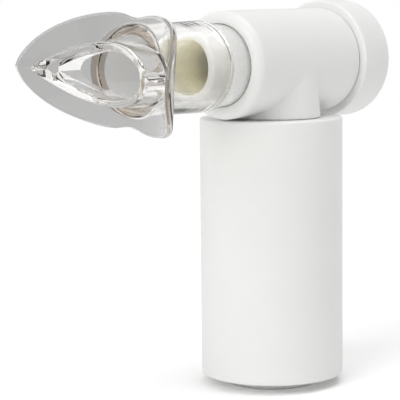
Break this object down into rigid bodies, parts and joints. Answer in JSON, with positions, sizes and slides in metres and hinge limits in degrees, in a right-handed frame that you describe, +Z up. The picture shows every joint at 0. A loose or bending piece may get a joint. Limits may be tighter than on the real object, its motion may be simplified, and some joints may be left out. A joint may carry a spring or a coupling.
{
  "type": "inspiratory muscle trainer",
  "caption": "Breathing trainer: round grip holding a sprung inlet valve, T-shaped valve head, vented rear cap and a clear flanged bite mouthpiece.",
  "frame": {"origin": "middle of the foot's lower face, on the grip's axis", "axes": "+Z up along the grip's axis, the mouthpiece points to -X and the rear cap to +X, Y across the mouthpiece's flange"},
  "size_m": [0.1259, 0.0596, 0.1232],
  "materials": {
    "white_shell": "white satin moulded plastic",
    "inner_plastic": "white matt moulded plastic",
    "ring_plastic": "grey matt plastic",
    "spring_steel": "bright drawn wire",
    "soft_seal": "milky soft rubber",
    "o_ring_rubber": "black rubber",
    "pale_spigot": "milky white moulded plastic",
    "clear_soft": "clear soft glossy plastic"
  },
  "bodies": {
    "grip": {"grip_sleeve": "white_shell", "base_plug": "white_shell", "thread_sleeve": "inner_plastic"},
    "head": {"head_housing": "white_shell", "retaining_ring": "ring_plastic", "inner_barrel": "inner_plastic", "rod_guide": "inner_plastic", "inlet_seat": "inner_plastic", "seat_o_ring": "o_ring_rubber", "outlet_seat": "inner_plastic"},
    "carrier": {"spring_carrier": "inner_plastic", "load_spring": "spring_steel"},
    "poppet": {"poppet": "inner_plastic", "poppet_seal": "soft_seal", "spring_cup": "inner_plastic", "rod_clip": "spring_steel"},
    "flap": {"outlet_flap": "soft_seal"},
    "spigot": {"mouth_spigot": "pale_spigot", "spigot_o_ring": "o_ring_rubber"},
    "mouthpiece": {"mouthpiece": "clear_soft"},
    "cap": {"rear_cap": "white_shell", "cap_o_ring": "o_ring_rubber"}
  },
  "joints": [
    {"name": "head_turn", "type": "hinge", "parent": "grip", "child": "head", "pos_m": [0, 0, 0.085], "axis": [0, 0, -1], "range_deg": [0, 270]},
    {"name": "carrier_travel", "type": "slide", "parent": "head", "child": "carrier", "axis": [0, 0, -1], "range_m": [0, 0.015], "deforming": ["load_spring"]},
    {"name": "poppet_lift", "type": "slide", "parent": "head", "child": "poppet", "axis": [0, 0, 1], "range_m": [0, 0.003], "stiffness_N_per_m": 229, "springref_m": -0.001},
    {"name": "flap_lift", "type": "slide", "parent": "head", "child": "flap", "axis": [1, 0, 0], "range_m": [0, 0.0014], "stiffness_N_per_m": 20, "springref_m": -0.001},
    {"name": "spigot_turn", "type": "hinge", "parent": "head", "child": "spigot", "pos_m": [-0.02, 0, 0.1039], "axis": [1, 0, 0], "continuous": true},
    {"name": "mouthpiece_pull", "type": "slide", "parent": "spigot", "child": "mouthpiece", "axis": [-1, 0, 0], "range_m": [0, 0.012]},
    {"name": "cap_pull", "type": "slide", "parent": "head", "child": "cap", "axis": [1, 0, 0], "range_m": [0, 0.012]}
  ],
  "couplings": [
    {"joint": "carrier_travel", "follows": "head_turn", "m_per_rad": 0.003183}
  ]
}
